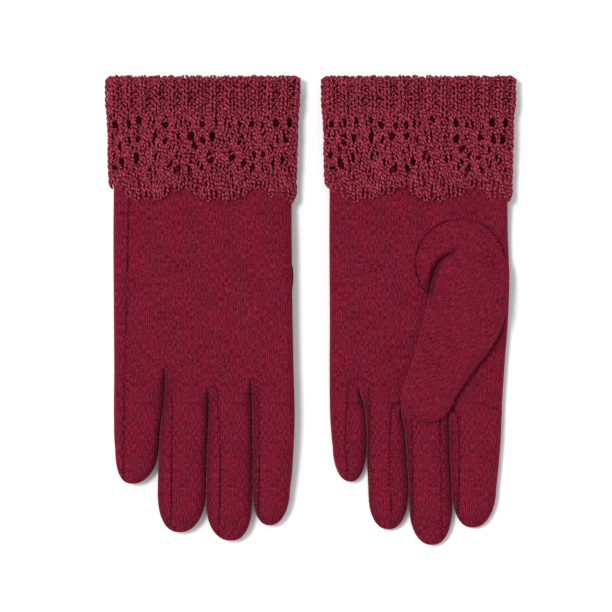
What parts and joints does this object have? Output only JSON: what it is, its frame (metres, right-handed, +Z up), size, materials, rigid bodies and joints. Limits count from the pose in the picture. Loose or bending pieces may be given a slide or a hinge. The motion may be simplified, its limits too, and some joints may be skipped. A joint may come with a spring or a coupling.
{
  "type": "knitted gloves",
  "caption": "Pair of knitted jersey gloves with folded, scalloped lace-knit cuffs, laid flat side by side, one back up and one palm up, with fingers that fold and thumbs that swing",
  "frame": {"origin": "under the middle of the pair's bounding box, on the surface the gloves lie on", "axes": "+Y runs from the fingertips to the cuffs, +X from the right-hand glove to the left-hand glove, +Z up away from the surface"},
  "size_m": [0.205, 0.2346, 0.0171],
  "materials": {
    "jersey": "fine brushed melange jersey, matt",
    "cuff_knit": "chunky lace knit, matt"
  },
  "bodies": {
    "right_hand": {"right_trank": "jersey", "right_cuff_band": "cuff_knit"},
    "right_little": {"right_little_back_panel": "jersey", "right_little_index_side_fourchette": "jersey", "right_little_palm_panel": "jersey"},
    "right_ring": {"right_ring_back_panel": "jersey", "right_ring_index_side_fourchette": "jersey", "right_ring_little_side_fourchette": "jersey", "right_ring_palm_panel": "jersey"},
    "right_middle": {"right_middle_back_panel": "jersey", "right_middle_index_side_fourchette": "jersey", "right_middle_little_side_fourchette": "jersey", "right_middle_palm_panel": "jersey"},
    "right_index": {"right_index_little_side_fourchette": "jersey", "right_index_panel": "jersey"},
    "right_thumb": {"right_thumb_gusset": "jersey", "right_thumb_stall": "jersey"},
    "right_turned_cuff": {"right_cuff_turn": "cuff_knit"},
    "left_hand": {"left_trank": "jersey", "left_cuff_band": "cuff_knit"},
    "left_little": {"left_little_back_panel": "jersey", "left_little_index_side_fourchette": "jersey", "left_little_palm_panel": "jersey"},
    "left_ring": {"left_ring_back_panel": "jersey", "left_ring_index_side_fourchette": "jersey", "left_ring_little_side_fourchette": "jersey", "left_ring_palm_panel": "jersey"},
    "left_middle": {"left_middle_back_panel": "jersey", "left_middle_index_side_fourchette": "jersey", "left_middle_little_side_fourchette": "jersey", "left_middle_palm_panel": "jersey"},
    "left_index": {"left_index_little_side_fourchette": "jersey", "left_index_panel": "jersey"},
    "left_thumb": {"left_thumb_gusset": "jersey", "left_thumb_stall": "jersey"},
    "left_turned_cuff": {"left_cuff_turn": "cuff_knit"}
  },
  "joints": [
    {"name": "right_little_fold", "type": "hinge", "parent": "right_hand", "child": "right_little", "pos_m": [-0.0866, -0.043, 0.0137], "axis": [-1, 0, 0], "range_deg": [0, 90]},
    {"name": "right_ring_fold", "type": "hinge", "parent": "right_hand", "child": "right_ring", "pos_m": [-0.0628, -0.0505, 0.0137], "axis": [-1, 0, 0], "range_deg": [0, 90]},
    {"name": "right_middle_fold", "type": "hinge", "parent": "right_hand", "child": "right_middle", "pos_m": [-0.0408, -0.05825, 0.0137], "axis": [-1, 0, 0], "range_deg": [0, 90]},
    {"name": "right_index_fold", "type": "hinge", "parent": "right_hand", "child": "right_index", "pos_m": [-0.019, -0.057, 0.0137], "axis": [-1, 0, 0], "range_deg": [0, 90]},
    {"name": "right_thumb_swing", "type": "hinge", "parent": "right_hand", "child": "right_thumb", "pos_m": [-0.0335, 0.0225, 0.0043], "axis": [0, 0, 1], "range_deg": [0, 38]},
    {"name": "right_cuff_turn_up", "type": "slide", "parent": "right_hand", "child": "right_turned_cuff", "axis": [0, 1, 0], "range_m": [0, 0.05]},
    {"name": "left_little_fold", "type": "hinge", "parent": "left_hand", "child": "left_little", "pos_m": [0.0188, -0.043, 0.009], "axis": [-1, 0, 0], "range_deg": [0, 90]},
    {"name": "left_ring_fold", "type": "hinge", "parent": "left_hand", "child": "left_ring", "pos_m": [0.0376, -0.0505, 0.009], "axis": [-1, 0, 0], "range_deg": [0, 90]},
    {"name": "left_middle_fold", "type": "hinge", "parent": "left_hand", "child": "left_middle", "pos_m": [0.0608, -0.05825, 0.009], "axis": [-1, 0, 0], "range_deg": [0, 90]},
    {"name": "left_index_fold", "type": "hinge", "parent": "left_hand", "child": "left_index", "pos_m": [0.0838, -0.057, 0.009], "axis": [-1, 0, 0], "range_deg": [0, 90]},
    {"name": "left_thumb_swing", "type": "hinge", "parent": "left_hand", "child": "left_thumb", "pos_m": [0.0745, 0.0225, 0.0094], "axis": [0, 0, 1], "range_deg": [0, 60]},
    {"name": "left_cuff_turn_up", "type": "slide", "parent": "left_hand", "child": "left_turned_cuff", "axis": [0, 1, 0], "range_m": [0, 0.05]},
    {"name": "left_glove_lift", "type": "slide", "parent": "right_hand", "child": "left_hand", "axis": [0, 0, 1], "range_m": [0, 0.12]}
  ]
}
